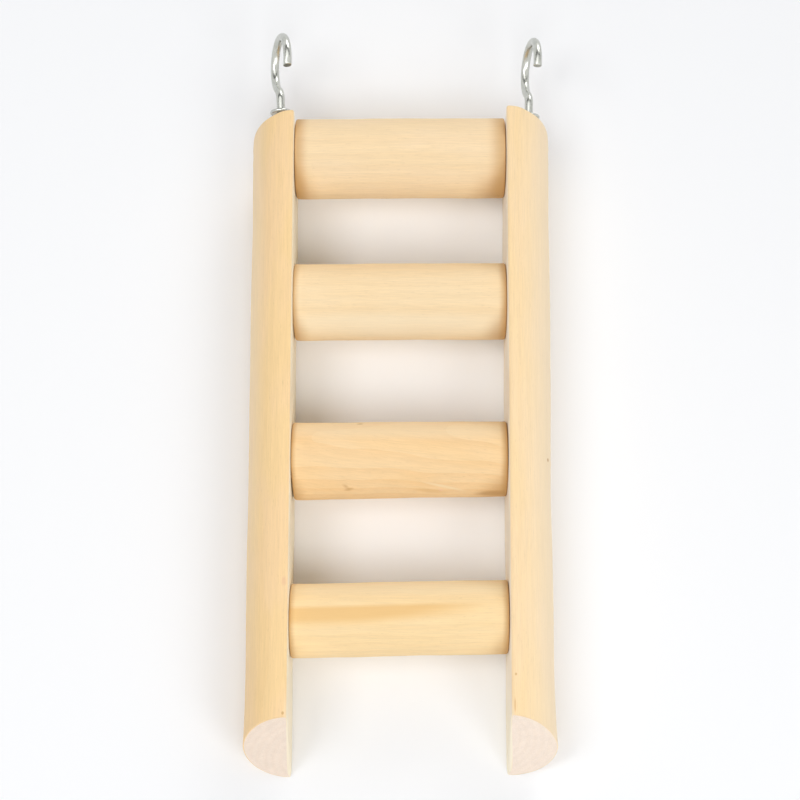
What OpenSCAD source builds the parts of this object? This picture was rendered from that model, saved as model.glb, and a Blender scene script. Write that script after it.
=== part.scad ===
// Small wooden cage ladder: two half-round side rails with their flats facing each other,
// four round rungs nailed between the flats, and a screw hook in each rail's slanted upper end.
// The ladder lies flat on the backs of its rails. +X is its width, +Y runs up to the hooks and
// +Z is the side that the hooks open toward. The origin is on the surface it lies on, under the
// middle of its outline.

/* [Side rails] */
// Diameter of the round stock that each half-round rail is split from
rail_d = 23; // [18:0.5:30]
// Length of the left rail along its hook-side edge, from the upper tip to the foot
rail_l = 157; // [150:0.2:240]
// Distance between the rails' flat faces
rail_gap = 55.6; // [46:0.2:90]
// Sanded rounding of the two long edges beside the flat
rail_edge_r = 0.8; // [0.3:0.1:2]
// Slant of the upper ends, from a square cut
top_cut = 26.5; // [10:0.5:35]
// Slant of the feet, from a square cut
foot_cut = 34; // [10:0.5:45]
// How much longer the right rail is than the left one
right_rail_extra_l = 0.6; // [0:0.1:2]
// How much higher the right rail's tip stands than the left one's
right_rail_rise = 1.3; // [0:0.1:2]

/* [Rungs] */
// Diameter of the first rung, the one nearest the hooks
rung_1_d = 21; // [15:0.1:22]
// Diameter of the second rung
rung_2_d = 19.7; // [15:0.1:22]
// Diameter of the third rung
rung_3_d = 19.7; // [15:0.1:22]
// Diameter of the fourth rung
rung_4_d = 18.5; // [15:0.1:22]
// Distance of the first rung's axis below the left rail's tip
first_rung_drop = 9.6; // [9:0.1:20]
// Distance between the axes of the first and second rungs
pitch_1_2 = 39.3; // [25:0.1:48]
// Distance between the axes of the second and third rungs
pitch_2_3 = 42.2; // [25:0.1:48]
// Distance between the axes of the third and fourth rungs
pitch_3_4 = 41.1; // [25:0.1:48]
// Slope of the first two rungs, right end up
upper_rung_slope = 0.4; // [0:0.1:2]
// Slope of the third rung, right end up
rung_3_slope = 0.8; // [0:0.1:2]
// Slope of the fourth rung, right end up
rung_4_slope = 1.2; // [0:0.1:2]
// How much thinner the third rung is at its right end than at its left
rung_3_taper = 0.6; // [0:0.1:1.5]

/* [Hook wire] */
// Diameter of the hook's wire
wire_d = 2.2; // [1.6:0.1:3]
// Clear width inside the hook's eye
eye_d = 12; // [9:0.5:16]
// Length of the straight neck, from the collar's seat to the bend
neck_l = 4; // [3:0.1:10]
// Centreline radius of the bend between the neck and the eye
neck_bend_r = 3.7; // [2:0.1:5]
// How far the eye's centre stands forward of the neck
eye_shift = 2; // [0:0.1:3]
// Diameter of the collar
collar_d = 5.8; // [4.5:0.1:7]
// Thickness of the collar
collar_t = 0.9; // [0.6:0.1:1.5]
// How far a seated collar's front edge is pressed into the wood
collar_bite = 0.15; // [0.05:0.05:0.4]
// Outside diameter of the wood screw below the collar
screw_d = 2.6; // [2:0.1:3.4]
// Length of the wood screw below the collar
screw_l = 12; // [8:0.5:16]
// Length of the screw's point
screw_point_l = 2.5; // [1:0.5:4]

/* [Hook places] */
// Distance of the left hook's screw from the left rail's flat
left_hook_inset = 3.8; // [3.5:0.1:7]
// Depth of the left hook's screw behind the rail's hook-side edge
left_hook_depth = 4.6; // [4.4:0.1:9]
// How far the left hook stands short of being fully screwed in
left_hook_rise = 1.3; // [0:0.1:3]
// Turn of the left hook about its screw, opening to the right
left_hook_turn = 17; // [-30:1:30]
// Lean of the left hook to the left
left_hook_lean = 2.7; // [0:0.1:6]
// How far the left hook's tip comes round past the eye's middle
left_tip_turn = 22; // [0:1:35]
// Distance of the right hook's screw from the right rail's flat
right_hook_inset = 6.3; // [3.5:0.1:7]
// Depth of the right hook's screw behind the rail's hook-side edge
right_hook_depth = 5.8; // [4.4:0.1:9]
// Turn of the right hook about its screw, opening to the right
right_hook_turn = 10; // [-30:1:30]
// Lean of the right hook to the right
right_hook_lean = 1.5; // [0:0.1:6]
// How far the right hook's tip comes round past the eye's middle
right_tip_turn = 13; // [0:1:35]

/* [Nails] */
// Diameter of a nail's shank
nail_d = 1.6; // [1.2:0.1:2]
// Length of a nail, with its head
nail_l = 28; // [22:0.5:32]
// Diameter of a nail's head
nail_head_d = 3.2; // [2.6:0.1:4]
// Thickness of a nail's head
nail_head_t = 0.8; // [0.5:0.1:1.2]
// Length of a nail's point
nail_point_l = 2.5; // [1:0.5:4]
// How far a nail's head is driven below the rail's round side
nail_sink = 0.3; // [0.1:0.1:0.8]

/* [Hidden] */
$fn = 96;

left_rail_wood = [0.95, 0.83, 0.65];
right_rail_wood = [0.98, 0.88, 0.7];
rung_woods = [[0.97, 0.87, 0.72], [0.97, 0.86, 0.69], [0.95, 0.82, 0.63], [0.98, 0.86, 0.66]];
zinc = [0.74, 0.75, 0.77];
nail_steel = [0.6, 0.6, 0.61];

// Cutting tools run this far past the wood that they cut
past = 5;

// Rail section: the flat lies on x = 0 and the round side bulges toward +x
rail_r = rail_d / 2;
edge_x = rail_edge_r;
edge_y = sqrt(pow(rail_r - rail_edge_r, 2) - pow(rail_edge_r, 2));
rail_t = 2 * (edge_y + rail_edge_r);
top_run = rail_t * tan(top_cut);
foot_run = rail_t * tan(foot_cut);
axis_z = rail_t / 2;

// Rungs, from the hooks down
rung_ds = [rung_1_d, rung_2_d, rung_3_d, rung_4_d];
rung_tapers = [0, 0, rung_3_taper, 0];
rung_slopes = [upper_rung_slope, upper_rung_slope, rung_3_slope, rung_4_slope];
rung_drops = [
    first_rung_drop,
    first_rung_drop + pitch_1_2,
    first_rung_drop + pitch_1_2 + pitch_2_3,
    first_rung_drop + pitch_1_2 + pitch_2_3 + pitch_3_4
];
rungs = [for (i = [0:len(rung_ds) - 1]) i];

// Hook wire, in the hook's own plane: x is forward, y is up from the collar's seat
eye_r = (eye_d + wire_d) / 2;
bend_to_eye = sqrt(pow(eye_r + neck_bend_r, 2) - pow(eye_shift + neck_bend_r, 2));
bend_turn = atan2(bend_to_eye, eye_shift + neck_bend_r);
eye_rise = neck_l + bend_to_eye;
// The neck and its bend are drawn a hair thinner than the eye, and run this far into it
neck_d = wire_d - 0.02;
lap_turn = 2;

// Each hook: side, distance from the flat, depth, height over its seat, turn, lean to the right, tip's turn
hook_left_place = [
    -1, left_hook_inset, left_hook_depth, left_hook_rise, left_hook_turn, -left_hook_lean, left_tip_turn
];
hook_right_place = [
    1, right_hook_inset, right_hook_depth, 0, right_hook_turn, right_hook_lean, right_tip_turn
];

function rail_length(side) = side > 0 ? rail_l + right_rail_extra_l : rail_l;
function rail_rise(side) = side > 0 ? right_rail_rise : 0;

// A hook's seat under the left rail's tip: a seated collar's front edge bites into the slanted end
function seat_drop(hook) =
    (hook[2] - collar_d / 2) * tan(top_cut) + (hook[3] == 0 ? collar_bite : -hook[3]) - rail_rise(hook[0]);
function hook_top(hook) =
    cos(hook[5]) * eye_rise - sin(hook[5]) * sin(hook[4]) * eye_shift
    + eye_r * sqrt(pow(cos(hook[5]), 2) + pow(sin(hook[5]) * sin(hook[4]), 2)) + wire_d / 2 - seat_drop(hook);

// The origin is under the middle of the whole length, hooks included
hooks_top = max(hook_top(hook_left_place), hook_top(hook_right_place));
feet_drop = max(rail_length(-1) - rail_rise(-1), rail_length(1) - rail_rise(1)) + foot_run;
tip_y = (feet_drop - hooks_top) / 2;
function rung_y(i) = tip_y - rung_drops[i];

// Half disc with its two long edges rounded, each rounding tangent to the flat and to the arc
module rail_section() {
    outward = (rail_r + past) / (rail_r - rail_edge_r);
    difference() {
        circle(d = rail_d);
        translate([-rail_d, -rail_r - past]) square([rail_d, rail_d + 2 * past]);
        for (s = [-1, 1])
            polygon([
                [-past, s * edge_y],
                [edge_x, s * edge_y],
                [edge_x * outward, s * edge_y * outward],
                [-past, s * edge_y * outward]
            ]);
    }
    for (s = [-1, 1]) translate([edge_x, s * edge_y]) circle(r = rail_edge_r);
}

// Side view of a rail, which gives both slanted ends: x is the ladder's length, y its depth
module rail_side_view(length) {
    polygon([
        [0, rail_t],
        [-length, rail_t],
        [-length - foot_run, 0],
        [-top_run, 0]
    ]);
}

// Rail before drilling, as the right-hand one
module rail_blank(length) {
    intersection() {
        translate([0, 0, axis_z]) rotate([90, 0, 0]) linear_extrude(length + foot_run) rail_section();
        translate([-past, 0, 0]) rotate([90, 0, 90]) linear_extrude(rail_r + 2 * past) rail_side_view(length);
    }
}

module rail(side, wood) {
    hook = side > 0 ? hook_right_place : hook_left_place;
    color(wood) difference() {
        translate([side * rail_gap / 2, tip_y + rail_rise(side), 0])
            mirror([side > 0 ? 0 : 1, 0, 0]) rail_blank(rail_length(side));
        for (i = rungs) on_rung(i) nail_place(side) nail_hole();
        on_hook(hook) hook_root();
    }
}

// Places its children on a rung's axis, with x along the rung
module on_rung(i) {
    translate([0, rung_y(i), axis_z]) rotate([0, 0, rung_slopes[i]]) children();
}

// Round stock cut off flush with both flats
module rung(i) {
    stock_l = rail_gap + 2 * past;
    swell = rung_tapers[i] * stock_l / rail_gap / 2;
    color(rung_woods[i]) difference() {
        intersection() {
            on_rung(i) rotate([0, 90, 0])
                cylinder(h = stock_l, d1 = rung_ds[i] + swell, d2 = rung_ds[i] - swell, center = true);
            translate([-rail_gap / 2, rung_y(i) - rung_ds[i], axis_z - rung_ds[i]])
                cube([rail_gap, 2 * rung_ds[i], 2 * rung_ds[i]]);
        }
        for (side = [-1, 1]) on_rung(i) nail_place(side) nail_hole();
    }
}

// Places a nail in a rung's axis on one side: its z runs from the head's face to the point
module nail_place(side) {
    translate([side * (rail_gap / 2 + rail_r - nail_sink), 0, 0]) rotate([0, -90 * side, 0]) children();
}

// Flat head, round shank and a tapered point, about z
module nail() {
    cylinder(h = nail_head_t, d = nail_head_d);
    cylinder(h = nail_l - nail_point_l, d = nail_d);
    translate([0, 0, nail_l - nail_point_l]) cylinder(h = nail_point_l, d1 = nail_d, d2 = nail_d / 4);
}

// The wood that a nail and its driven-in head push aside
module nail_hole() {
    nail();
    translate([0, 0, -past]) cylinder(h = past + nail_head_t, d = nail_head_d);
}

module nails() {
    color(nail_steel) for (i = rungs, side = [-1, 1]) on_rung(i) nail_place(side) nail();
}

// Places its children at a hook's seat, with x forward through the eye's opening and y up
module on_hook(hook) {
    translate([hook[0] * (rail_gap / 2 + hook[1]), tip_y - seat_drop(hook), rail_t - hook[2]])
        rotate([0, 0, -hook[5]]) rotate([0, hook[4] - 90, 0]) children();
}

// Wire bent round a centre, from one direction to another, counter-clockwise in the hook's plane
module wire_arc(centre, radius, from, to, d) {
    translate(centre) rotate([0, 0, from])
        rotate_extrude(angle = to - from) translate([radius, 0]) circle(d = d);
}

// Collar with a half-round rim on top of a pointed screw, about the hook's y
module hook_root() {
    rotate([-90, 0, 0]) {
        rotate_extrude() {
            square([(collar_d - collar_t) / 2, collar_t]);
            translate([(collar_d - collar_t) / 2, collar_t / 2]) circle(d = collar_t);
        }
        translate([0, 0, -screw_l]) cylinder(h = screw_point_l, d1 = screw_d / 6, d2 = screw_d);
        translate([0, 0, screw_point_l - screw_l]) cylinder(h = screw_l - screw_point_l, d = screw_d);
    }
}

module hook(place) {
    color(zinc) on_hook(place) {
        hook_root();
        rotate([-90, 0, 0]) cylinder(h = neck_l, d = neck_d);
        wire_arc([-neck_bend_r, neck_l], neck_bend_r, 0, bend_turn + lap_turn, neck_d);
        wire_arc([eye_shift, eye_rise], eye_r, -place[6], 180 + bend_turn, wire_d);
    }
}

module rail_left() { rail(-1, left_rail_wood); }
module rail_right() { rail(1, right_rail_wood); }
module rung_1() { rung(0); }
module rung_2() { rung(1); }
module rung_3() { rung(2); }
module rung_4() { rung(3); }
module hook_left() { hook(hook_left_place); }
module hook_right() { hook(hook_right_place); }

rail_left();
rail_right();
rung_1();
rung_2();
rung_3();
rung_4();
nails();
hook_left();
hook_right();
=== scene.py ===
"""Looks of a small wooden cage ladder: two half-round rails, four nailed dowel rungs, two screw hooks.

X is the ladder's width, Y runs up to the hooks, and Z is the side that the camera and the hooks'
openings face. The classes hold their sizes in millimetres, and the meshes come out in metres.
"""

import logging
import math
from collections.abc import Callable
from dataclasses import dataclass
from enum import Enum, IntEnum
from functools import partial

import bpy
import numpy as np
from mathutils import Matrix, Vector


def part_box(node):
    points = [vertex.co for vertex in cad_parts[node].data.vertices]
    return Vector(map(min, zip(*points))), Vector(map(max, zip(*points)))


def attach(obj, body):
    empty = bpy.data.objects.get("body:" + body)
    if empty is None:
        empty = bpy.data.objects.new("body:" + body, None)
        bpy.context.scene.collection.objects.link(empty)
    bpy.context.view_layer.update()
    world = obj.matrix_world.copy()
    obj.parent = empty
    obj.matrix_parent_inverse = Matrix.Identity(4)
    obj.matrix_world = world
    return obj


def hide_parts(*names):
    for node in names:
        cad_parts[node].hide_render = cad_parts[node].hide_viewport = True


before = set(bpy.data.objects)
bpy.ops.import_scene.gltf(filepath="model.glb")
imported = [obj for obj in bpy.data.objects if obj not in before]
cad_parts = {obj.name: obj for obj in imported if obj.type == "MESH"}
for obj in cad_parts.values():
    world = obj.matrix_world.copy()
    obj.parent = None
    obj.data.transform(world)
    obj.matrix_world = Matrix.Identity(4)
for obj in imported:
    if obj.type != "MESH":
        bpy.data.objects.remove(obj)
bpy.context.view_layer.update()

MM = 0.001
BODY = "root"
WHITE = "#ffffff"
Object = bpy.types.Object
Material = bpy.types.Material
Socket = bpy.types.NodeSocket
Adder = Callable[..., Socket]
Array = np.ndarray
Pair = tuple[float, float]
Place = tuple[float, float, float]
log = logging.getLogger("ladder")


# Colour and nodes


def linear(colour: str) -> tuple[float, float, float, float]:
    """Turns an sRGB hex colour to linear light.

    Args:
        colour: six hex digits, as #rrggbb.

    Returns:
        Red, green, blue and an alpha of 1.
    """
    share = np.array([int(colour[i : i + 2], 16) for i in (1, 3, 5)]) / 255
    light = np.where(share <= 0.04045, share / 12.92, ((share + 0.055) / 1.055) ** 2.4)
    return (*light.tolist(), 1.0)


def metres(sizes: tuple[float, ...]) -> list[float]:
    """Returns sizes in millimetres as metres."""
    return [size * MM for size in sizes]


def per_mm(*sizes: float) -> tuple[float, ...]:
    """Returns how many of each size, in millimetres, fit in a metre: a texture's scale."""
    return tuple(1 / (size * MM) for size in sizes)


def wave_scale(period: float) -> float:
    """Returns the Wave texture's scale for a period in millimetres. Its own is 2 pi / 20 units."""
    return 2 * math.pi / 20 * per_mm(period)[0]


def add_node(
    tree: bpy.types.NodeTree, kind: str, inputs: dict | None = None, out: int | str = 0, **settings: object
) -> Socket | None:
    """Adds one node with its settings, values and links.

    Args:
        tree: the material's or world's tree.
        kind: the node's type name, without its common first word.
        inputs: by socket name or number, a value or the socket that feeds it.
        out: the name or number of the output that is wanted.
        settings: the node's own properties.

    Returns:
        The output, or nothing where the node has none.
    """
    node = tree.nodes.new("ShaderNode" + kind)
    for name, value in settings.items():
        setattr(node, name, value)
    for name, value in (inputs or {}).items():
        if isinstance(value, Socket):
            tree.links.new(value, node.inputs[name])
        else:
            node.inputs[name].default_value = value
    return node.outputs[out] if node.outputs else None


def new_material(name: str) -> tuple[Material, Adder, Socket]:
    """Makes a material that holds only its place in Object coordinates.

    Args:
        name: the material's name.

    Returns:
        The material, what adds a node to it, and the place.
    """
    material = bpy.data.materials.new(name)
    material.use_nodes = True
    material.node_tree.nodes.clear()
    add = partial(add_node, material.node_tree)
    return material, add, add("TexCoord", out="Object")


def layered(add: Adder, colour: Socket | tuple, layers: list[tuple[Socket, str]]) -> Socket:
    """Lays tones over a colour, one after another.

    Args:
        add: adds a node to the material.
        colour: the colour underneath.
        layers: the share and the colour of each tone.

    Returns:
        The colour with its tones.
    """
    for share, tone in layers:
        colour = add("Mix", {0: share, 6: colour, 7: linear(tone)}, 2, data_type="RGBA")
    return colour


def toned(add: Adder, colour: Socket, tones: tuple[tuple, ...]) -> Socket:
    """Darkens and lightens a colour by several patterns at once.

    Args:
        add: adds a node to the material.
        colour: the colour.
        tones: for each pattern, its socket, the two values it is read between, and the gain at each.

    Returns:
        The colour times the product of the gains.
    """
    gain = 1.0
    for pattern, low, high, dark, light in tones:
        part = add("MapRange", {"Value": pattern, 1: low, 2: high, 3: dark, 4: light})
        gain = add("Math", {0: part, 1: gain}, operation="MULTIPLY")
    return add("VectorMath", {0: colour, "Scale": gain}, operation="SCALE")


# Shapes as numpy surfaces


def graded(
    start: float, stop: float, spots: list[float], coarse: float, fine: float, reach: float
) -> Array:
    """Spaces samples closely round some places and widely elsewhere.

    The sample density is 1 / coarse, plus 1 / fine times exp(-(distance / reach) ** 4) at each
    spot. The samples are the places where its running total passes whole steps.

    Args:
        start: first place.
        stop: last place.
        spots: places that need detail.
        coarse: spacing away from the spots.
        fine: spacing at the spots.
        reach: half width of the detailed part.

    Returns:
        The places, rising from start to stop.
    """
    place = np.linspace(start, stop, 6000)
    density = np.full_like(place, 1 / coarse)
    for spot in spots:
        density += np.exp(-(((place - spot) / reach) ** 4)) / fine
    total = np.concatenate([[0], np.cumsum((density[1:] + density[:-1]) / 2 * np.diff(place))])
    return np.interp(np.linspace(0, total[-1], math.ceil(total[-1]) + 1), total, place)


def ripple(along: Array, across: Array, waves: tuple) -> Array:
    """Sums a few slow waves, for the unevenness that sanding by hand leaves.

    Args:
        along: place along the piece.
        across: place round the piece.
        waves: height, wavelength along, wavelength across and phase of each wave.

    Returns:
        Height, as the sum of height * sin(2 pi (along / wavelength + across / wavelength) + phase).
    """
    height, long_wave, cross_wave, phase = np.array(waves).T[:, :, None, None]
    turns = along[None] / long_wave + across[None] / cross_wave
    return (height * np.sin(2 * math.pi * turns + phase)).sum(0)


def smooth(low: float, high: float, value: Array) -> Array:
    """Rises from 0 at low to 1 at high as 3 t^2 - 2 t^3."""
    t = np.clip((value - low) / (high - low), 0, 1)
    return t * t * (3 - 2 * t)


def bell(value: Array, middle: float, width: float) -> Array:
    """Rises to 1 at the middle as exp(-((value - middle) / width) ** 2)."""
    return np.exp(-(((value - middle) / width) ** 2))


def walk(run: Array, start: Pair, heading: float, legs: tuple[Pair, ...]) -> tuple[Array, Array]:
    """Walks along straight and round legs, one after another.

    A leg of radius r = length / turn adds r (sin b - sin a, cos a - cos b) between headings a and b.

    Args:
        run: distance walked.
        start: where the first leg starts.
        heading: its direction there, in radians.
        legs: the length and turn of each leg, which turns evenly.

    Returns:
        The place (count, 2) and the heading at each distance.
    """
    place, direction = np.tile(start, (len(run), 1)), np.full(len(run), heading)
    for length, turn in legs:
        along = run.clip(0, length)
        now = heading + turn * along / length
        if turn:
            curve = np.stack([np.sin(now) - math.sin(heading), math.cos(heading) - np.cos(now)], -1)
            place += length / turn * curve
        else:
            place += along[:, None] * [math.cos(heading), math.sin(heading)]
        direction += now - heading
        heading, run = heading + turn, run - length
    return place, direction


def capped(
    first: float, last: float, sides: Array, radii: Pair, turns: int, fill: tuple[float, ...]
) -> tuple[Array, Array, Array, Array]:
    """Lays out the rows of a bar whose two ends are flat faces with a quarter-round edge.

    A row on an edge is radius * (1 - sin turn) from the end, and set in by radius * (1 - cos turn).

    Args:
        first: place of the first end.
        last: place of the last end.
        sides: places of the rows between the edges.
        radii: the edge's radius at the first and at the last end.
        turns: rows on each edge, with the first row of the sides counted.
        fill: how much of the section the rows on a face have, from its middle out.

    Returns:
        For each row, its place, how much of the section is left and how far it is set in, as
        columns, and the finish of each row of faces: 0 on the sides and 1 on the faces.
    """
    turn, sign = np.radians(np.linspace(90, 0, turns)), np.sign(last - first)
    off, inset = 1 - np.sin(turn), 1 - np.cos(turn)
    near, far = radii
    face = np.ones(len(fill))
    start, stop = first + sign * near * off[:-1], last - sign * far * off[-2::-1]
    place = np.concatenate([first * face, start, sides, stop, last * face])
    left = np.concatenate([fill, np.ones(len(sides) + 2 * (turns - 1)), fill[::-1]])
    set_in = [near * face, near * inset[:-1], np.zeros(len(sides)), far * inset[-2::-1], far * face]
    bands = np.zeros(len(place) + 1, int)
    bands[: len(fill) + 1] = bands[-len(fill) - 1 :] = 1
    return place[:, None], left[:, None], np.concatenate(set_in)[:, None], bands


def skin(
    name: str,
    shells: list[tuple[Array, Array]],
    materials: list[Material],
    bands: Array,
) -> Object:
    """Makes one object from closed shells of rings.

    Each shell is a grid of rings by columns, closed round the columns, whose two ends close in a
    fan on a pole. A shell whose signed volume is negative has its faces turned.

    Args:
        name: the piece's name.
        shells: for each, the rings (rows, columns, 3) and the two poles (2, 3), in millimetres.
        materials: the piece's materials.
        bands: the material number of each row of faces, both fans counted.

    Returns:
        The object, at the origin, with its place in its mesh.
    """
    points, faces, slots, base = [], [], [], 0
    for rings, poles in shells:
        rows, columns = rings.shape[:2]
        near = np.arange(rows * columns).reshape(rows, columns) + base
        side = np.roll(near, -1, axis=1)
        quads = np.stack([near[:-1], side[:-1], side[1:], near[1:]], -1).reshape(-1, 4)
        first, last = base + rows * columns, base + rows * columns + 1
        start_fan = np.stack([np.full(columns, first), side[0], near[0]], -1)
        end_fan = np.stack([np.full(columns, last), near[-1], side[-1]], -1)
        corners = np.concatenate([rings.reshape(-1, 3), poles])
        a, b, c, d = (corners[quads[:, i] - base] - poles[0] for i in range(4))
        volume = (np.cross(a, b) * c).sum() + (np.cross(a, c) * d).sum()
        turn = 1 if volume > 0 else -1
        faces += [face for part in (quads, start_fan, end_fan) for face in part[:, ::turn].tolist()]
        slots += [np.repeat(bands[1:-1], columns), np.repeat(bands[[0, -1]], columns)]
        points.append(corners)
        base += len(corners)
    piece = linked_mesh(name, np.concatenate(points), faces, materials)
    piece.data.polygons.foreach_set("material_index", np.concatenate(slots).astype(np.int32))
    piece.data.polygons.foreach_set("use_smooth", np.ones(len(faces), bool))
    piece.data.update()
    return piece


def linked_mesh(
    name: str, points: Array, faces: list[list[int]], materials: list[Material]
) -> Object:
    """Makes an object from corners and faces and links it.

    Args:
        name: the object's name.
        points: the corners (count, 3), in millimetres.
        faces: the corner numbers of each face.
        materials: the object's materials.

    Returns:
        The object.
    """
    mesh = bpy.data.meshes.new(name)
    mesh.from_pydata((points * MM).tolist(), [], faces)
    for material in materials:
        mesh.materials.append(material)
    made = bpy.data.objects.new(name, mesh)
    bpy.context.scene.collection.objects.link(made)
    return made


def lay_level(name: str, place: Place, size: Pair, material: Material) -> Object:
    """Makes a level rectangle that belongs to the studio.

    Args:
        name: its name.
        place: its middle, in millimetres.
        size: its size along X and Y, in millimetres.
        material: its material.

    Returns:
        The object.
    """
    corners = np.array([[-1, -1, 0], [1, -1, 0], [1, 1, 0], [-1, 1, 0]]) * [*size, 0] / 2 + place
    made = linked_mesh(name, corners, [[0, 1, 2, 3]], [material])
    return made


def dress(piece: Object, node: str) -> None:
    """Puts a finished piece in the place of a solid and reports how well it fills it.

    Args:
        piece: the piece.
        node: the solid that it stands for.
    """
    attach(piece, BODY)
    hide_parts(node)
    low, high = (np.array(corner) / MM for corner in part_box(node))
    places = np.array([v.co for v in piece.data.vertices]) / MM
    gap = np.abs(np.concatenate([places.min(0) - low, places.max(0) - high])).max()
    faces = len(piece.data.polygons)
    log.info("%s: %d faces, within %.2f mm of its solid's box", piece.name, faces, gap)


# Finishes


class Finish:
    """A finish with a solid pattern, which is drawn in Object coordinates and shaded as one surface."""

    name: str

    def surface(self, add: Adder, place: Socket) -> dict:
        """Draws the finish's pattern.

        Args:
            add: adds a node to the material.
            place: the place in Object coordinates.

        Returns:
            The shader's inputs by socket name.
        """
        raise NotImplementedError

    def material(self) -> Material:
        """Builds and returns the finish's material."""
        material, add, place = new_material(self.name)
        add("OutputMaterial", {"Surface": add("BsdfPrincipled", self.surface(add, place))})
        return material


class Grain(Enum):
    """Which way a piece's fibres run, as the turn from X in degrees."""

    ACROSS = 0.0
    UP = 90.0


@dataclass(frozen=True)
class Mark:
    """A knot, pin hole, streak or stain, or a patch of painted shade or painted light: a soft
    ellipsoid in the wood that takes another colour.

    core is the share of its radius that is fully coloured. A half mark ends sharply at its middle
    and fades only toward its own -Y, as the dark line of a growth ring does.
    """

    place: Place
    size: Place
    colour: str
    share: float
    turn: float = 0.0
    core: float = 0.3
    half: bool = False

    def cover(self, add: Adder, place: Socket) -> Socket:
        """Draws how much of its colour the mark gives each place.

        Args:
            add: adds a node to the wood.
            place: the place in Object coordinates.

        Returns:
            The share of the mark's colour.
        """
        middle, size, turn = metres(self.place), metres(self.size), math.radians(self.turn)
        stretch = {"Vector": place, "Location": middle, "Rotation": (0.0, 0.0, turn), "Scale": size}
        ball = add("Mapping", stretch, vector_type="TEXTURE")
        near = add("TexGradient", {"Vector": ball}, "Fac", gradient_type="SPHERICAL")
        limits = {"Value": near, 1: 0.0, 2: 1 - self.core, 3: 0.0, 4: self.share}
        share = add("MapRange", limits, interpolation_type="SMOOTHSTEP")
        if self.half:
            up = add("SeparateXYZ", {0: ball}, "Y")
            below = add("MapRange", {"Value": up, 1: -0.1, 2: 0.1, 3: 1.0, 4: 0.0})
            share = add("Math", {0: share, 1: below}, operation="MULTIPLY")
        return share


@dataclass(frozen=True)
class Strands:
    """Noise drawn out along the grain, by the length and width of one feature in millimetres."""

    length: float
    width: float
    detail: float
    rough: float = 0.5
    shift: Place = (0.0, 0.0, 0.0)

    def draw(self, add: Adder, log_place: Socket) -> Socket:
        """Draws the noise. It has about one feature to a unit, so its scale is one over their size.

        Args:
            add: adds a node to the wood.
            log_place: the place in the log, with X along the grain.

        Returns:
            The noise, from 0 to 1.
        """
        scale = per_mm(self.length, self.width, self.width)
        drawn = add("Mapping", {"Vector": log_place, "Location": self.shift, "Scale": scale})
        noise = {"Vector": drawn, "Scale": 1.0, "Detail": self.detail, "Roughness": self.rough}
        return add("TexNoise", noise, "Fac")


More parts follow.
